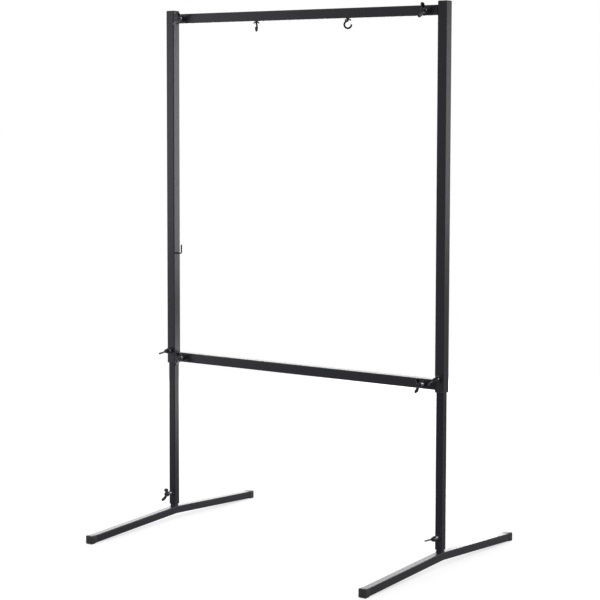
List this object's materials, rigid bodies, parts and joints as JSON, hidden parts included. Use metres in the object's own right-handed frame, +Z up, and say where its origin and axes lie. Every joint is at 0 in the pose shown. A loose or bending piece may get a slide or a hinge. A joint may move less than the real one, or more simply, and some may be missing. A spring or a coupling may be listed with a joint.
{
  "type": "gong stand",
  "caption": "Free-standing gong stand in black square tube: bent feet, telescoping posts, clamped cross bars, swivel gong hooks and a mallet hook.",
  "frame": {"origin": "on the floor, midway between the posts and between the ends of the feet", "axes": "+X along the bars to the right as seen from the front, +Y to the back, +Z up"},
  "size_m": [1.1274, 0.872, 1.757],
  "materials": {
    "painted_tube": "satin black powder coat",
    "plastic": "moulded black plastic",
    "rubber": "dull black rubber",
    "wing_screws": "black and bright zinc plating",
    "hook_steel": "dark zinc plating"
  },
  "bodies": {
    "left_leg": {"foot_beam_left": "painted_tube", "foot_stub_left": "painted_tube", "foot_shoe_front_left": "rubber", "foot_shoe_back_left": "rubber", "lower_post_left": "painted_tube", "lower_post_glide_left": "plastic", "foot_clamp_left_nut": "painted_tube"},
    "right_leg": {"foot_beam_right": "painted_tube", "foot_stub_right": "painted_tube", "foot_shoe_front_right": "rubber", "foot_shoe_back_right": "rubber", "lower_post_right": "painted_tube", "lower_post_glide_right": "plastic", "foot_clamp_right_nut": "painted_tube"},
    "frame": {"upper_post_left": "painted_tube", "post_cap_left": "plastic", "guide_bush_left": "plastic", "height_clamp_left_nut": "painted_tube", "upper_post_right": "painted_tube", "post_cap_right": "plastic", "guide_bush_right": "plastic", "height_clamp_right_nut": "painted_tube", "top_bar": "painted_tube", "top_bar_stub_left": "painted_tube", "top_bar_clamp_left_nut": "painted_tube", "top_bar_stub_right": "painted_tube", "top_bar_clamp_right_nut": "painted_tube", "bottom_bar": "painted_tube", "bottom_bar_stub_left": "painted_tube", "bottom_bar_clamp_left_nut": "painted_tube", "bottom_bar_stub_right": "painted_tube", "bottom_bar_clamp_right_nut": "painted_tube", "mallet_hook": "painted_tube", "hook_insert_left": "hook_steel", "hook_insert_right": "hook_steel"},
    "foot_wing_left": {"foot_clamp_left_wing_screw": "wing_screws"},
    "height_wing_left": {"height_clamp_left_wing_screw": "wing_screws"},
    "top_bar_wing_left": {"top_bar_clamp_left_wing_screw": "wing_screws"},
    "bottom_bar_wing_left": {"bottom_bar_clamp_left_wing_screw": "wing_screws"},
    "foot_wing_right": {"foot_clamp_right_wing_screw": "wing_screws"},
    "height_wing_right": {"height_clamp_right_wing_screw": "wing_screws"},
    "top_bar_wing_right": {"top_bar_clamp_right_wing_screw": "wing_screws"},
    "bottom_bar_wing_right": {"bottom_bar_clamp_right_wing_screw": "wing_screws"},
    "swivel_hook_left": {"gong_hook_left": "hook_steel"},
    "lock_nut_left": {"hook_lock_nut_left": "hook_steel"},
    "swivel_hook_right": {"gong_hook_right": "hook_steel"},
    "lock_nut_right": {"hook_lock_nut_right": "hook_steel"}
  },
  "joints": [
    {"name": "frame_height", "type": "slide", "parent": "left_leg", "child": "frame", "axis": [0, 0, 1], "range_m": [-0.42, 0.2]},
    {"name": "right_leg_slide", "type": "slide", "parent": "frame", "child": "right_leg", "axis": [0, 0, 1], "range_m": [-0.2, 0.42]},
    {"name": "foot_wing_left_turn", "type": "hinge", "parent": "left_leg", "child": "foot_wing_left", "pos_m": [-0.54, 0, 0.097], "axis": [0, 1, 0], "continuous": true},
    {"name": "height_wing_left_turn", "type": "hinge", "parent": "frame", "child": "height_wing_left", "pos_m": [-0.54, 0, 0.595], "axis": [0, 1, 0], "continuous": true},
    {"name": "top_bar_wing_left_turn", "type": "hinge", "parent": "frame", "child": "top_bar_wing_left", "pos_m": [-0.485, 0, 1.728], "axis": [0, 1, 0], "continuous": true},
    {"name": "bottom_bar_wing_left_turn", "type": "hinge", "parent": "frame", "child": "bottom_bar_wing_left", "pos_m": [-0.485, 0, 0.575], "axis": [0, 1, 0], "continuous": true},
    {"name": "foot_wing_right_turn", "type": "hinge", "parent": "right_leg", "child": "foot_wing_right", "pos_m": [0.54, 0, 0.097], "axis": [0, 1, 0], "continuous": true},
    {"name": "height_wing_right_turn", "type": "hinge", "parent": "frame", "child": "height_wing_right", "pos_m": [0.54, 0, 0.595], "axis": [0, 1, 0], "continuous": true},
    {"name": "top_bar_wing_right_turn", "type": "hinge", "parent": "frame", "child": "top_bar_wing_right", "pos_m": [0.485, 0, 1.728], "axis": [0, 1, 0], "continuous": true},
    {"name": "bottom_bar_wing_right_turn", "type": "hinge", "parent": "frame", "child": "bottom_bar_wing_right", "pos_m": [0.485, 0, 0.575], "axis": [0, 1, 0], "continuous": true},
    {"name": "swivel_hook_left_turn", "type": "hinge", "parent": "frame", "child": "swivel_hook_left", "pos_m": [-0.182, 0, 1.712], "axis": [0, 0, 1], "continuous": true},
    {"name": "lock_nut_left_turn", "type": "hinge", "parent": "frame", "child": "lock_nut_left", "pos_m": [-0.182, 0, 1.712], "axis": [0, 0, 1], "continuous": true},
    {"name": "swivel_hook_right_turn", "type": "hinge", "parent": "frame", "child": "swivel_hook_right", "pos_m": [0.182, 0, 1.712], "axis": [0, 0, 1], "continuous": true},
    {"name": "lock_nut_right_turn", "type": "hinge", "parent": "frame", "child": "lock_nut_right", "pos_m": [0.182, 0, 1.712], "axis": [0, 0, 1], "continuous": true}
  ],
  "couplings": [
    {"joint": "right_leg_slide", "follows": "frame_height", "ratio": -1}
  ]
}
